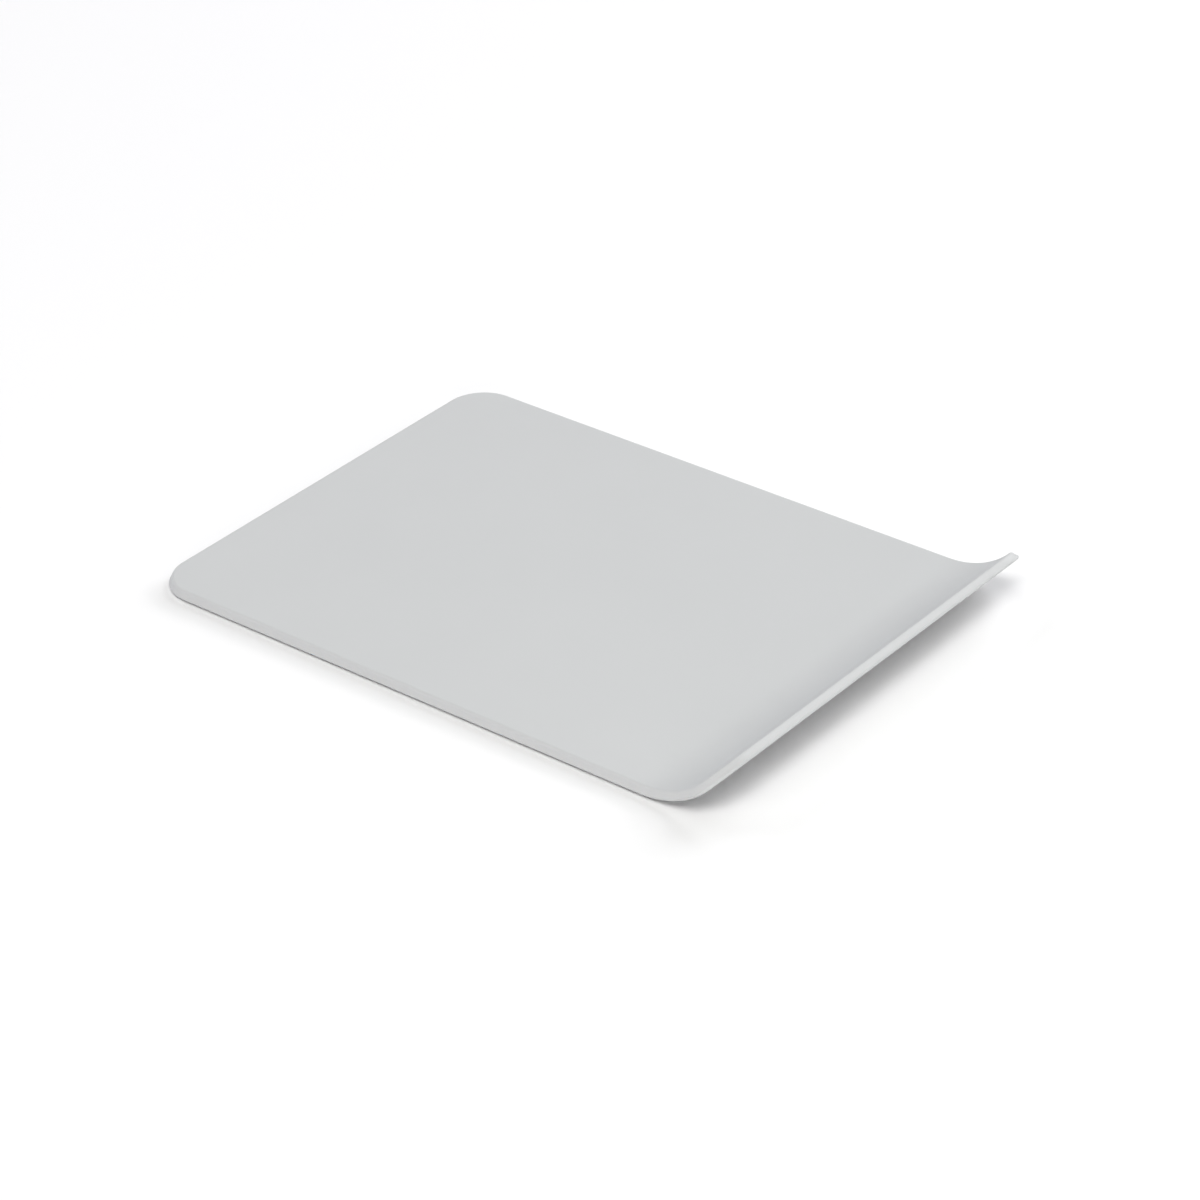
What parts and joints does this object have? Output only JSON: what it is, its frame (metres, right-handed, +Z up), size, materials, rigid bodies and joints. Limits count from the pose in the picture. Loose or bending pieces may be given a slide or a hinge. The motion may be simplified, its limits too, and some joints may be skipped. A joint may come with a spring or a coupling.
{
  "type": "flexible cutting mat",
  "caption": "Flexible cutting mat: a thick flat sheet with rounded corners, an end turned up in a curved lip, and soft round grip pads underneath.",
  "frame": {"origin": "on the table, under the middle of the whole mat's box", "axes": "+X along the mat towards the turned-up lip, +Y across the mat, +Z up from the table"},
  "size_m": [0.3798, 0.27, 0.0325],
  "materials": {
    "mat_body": "fine matte moulded texture",
    "grip_pad": "smooth soft rubber, matte"
  },
  "bodies": {
    "plain_end": {"plain_end_panel": "mat_body", "plain_end_pads": "grip_pad"},
    "plain_side": {"plain_side_panel": "mat_body", "plain_side_pads": "grip_pad"},
    "middle": {"middle_panel": "mat_body", "middle_pads": "grip_pad"},
    "lip_side": {"lip_side_panel": "mat_body", "lip_side_pads": "grip_pad"},
    "lip_end": {"lip_end_panel": "mat_body", "lip_end_pads": "grip_pad"}
  },
  "joints": [
    {"name": "plain_side_bend", "type": "hinge", "parent": "middle", "child": "plain_side", "pos_m": [-0.05866, 0, 0.0064], "axis": [0, 1, 0], "range_deg": [0, 25], "stiffness_Nm_per_rad": 1},
    {"name": "plain_end_bend", "type": "hinge", "parent": "plain_side", "child": "plain_end", "pos_m": [-0.12426, 0, 0.0064], "axis": [0, 1, 0], "range_deg": [0, 25], "stiffness_Nm_per_rad": 1},
    {"name": "lip_side_bend", "type": "hinge", "parent": "middle", "child": "lip_side", "pos_m": [0.00694, 0, 0.0064], "axis": [0, -1, 0], "range_deg": [0, 25], "stiffness_Nm_per_rad": 1},
    {"name": "lip_end_bend", "type": "hinge", "parent": "lip_side", "child": "lip_end", "pos_m": [0.07254, 0, 0.0064], "axis": [0, -1, 0], "range_deg": [0, 25], "stiffness_Nm_per_rad": 1}
  ]
}
